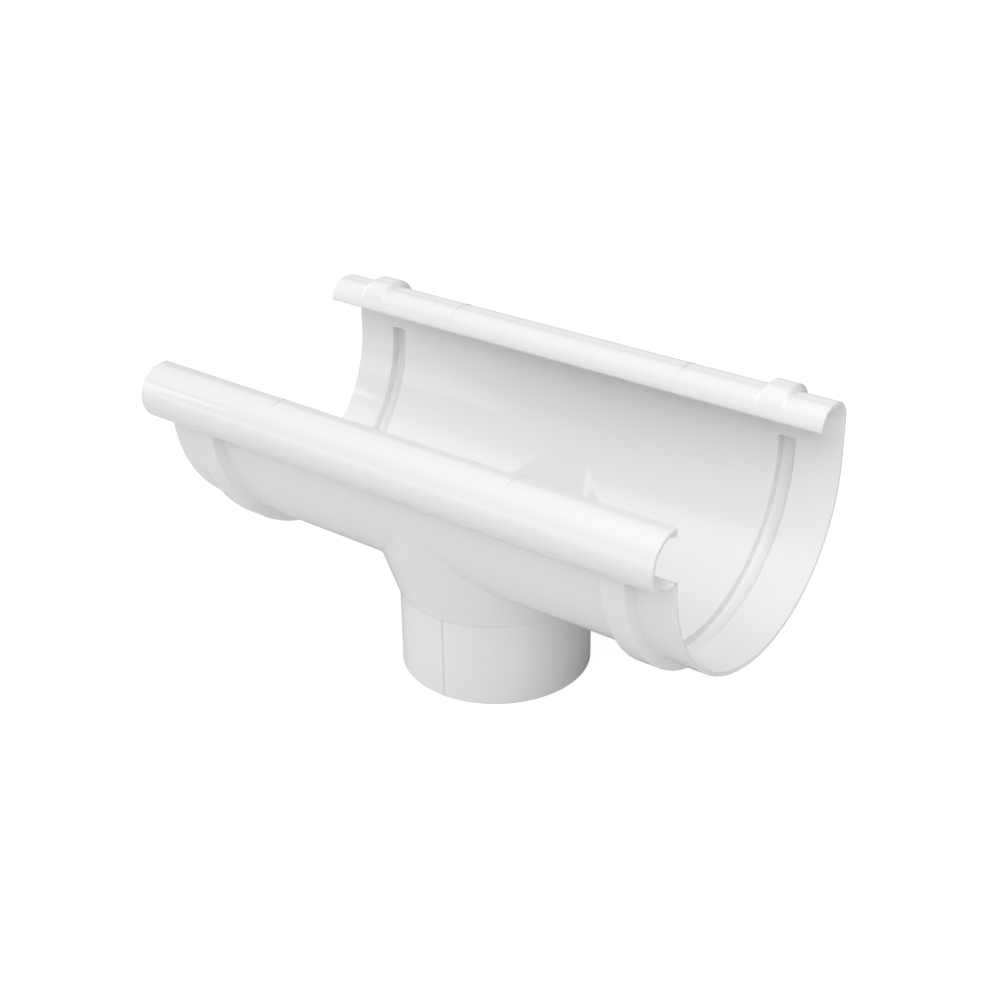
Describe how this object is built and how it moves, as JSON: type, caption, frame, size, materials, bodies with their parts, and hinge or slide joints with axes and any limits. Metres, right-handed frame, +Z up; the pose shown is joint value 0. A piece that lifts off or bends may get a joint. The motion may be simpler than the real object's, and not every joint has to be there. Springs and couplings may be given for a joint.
{
  "type": "gutter outlet",
  "caption": "Running outlet for a half-round plastic gutter: a trough with a rolled front bead and a rear hook, a hopper and a round spigot that drains into a downpipe.",
  "frame": {"origin": "centre of the spigot's lower rim", "axes": "+X along the gutter, -Y towards the rolled front bead, +Y towards the wall of the building and the hook, +Z up; the spigot points down along -Z"},
  "size_m": [0.272, 0.1529, 0.1456],
  "materials": {
    "white_pvc": "glossy"
  },
  "bodies": {
    "root": {"outlet_body": "white_pvc"}
  },
  "joints": []
}
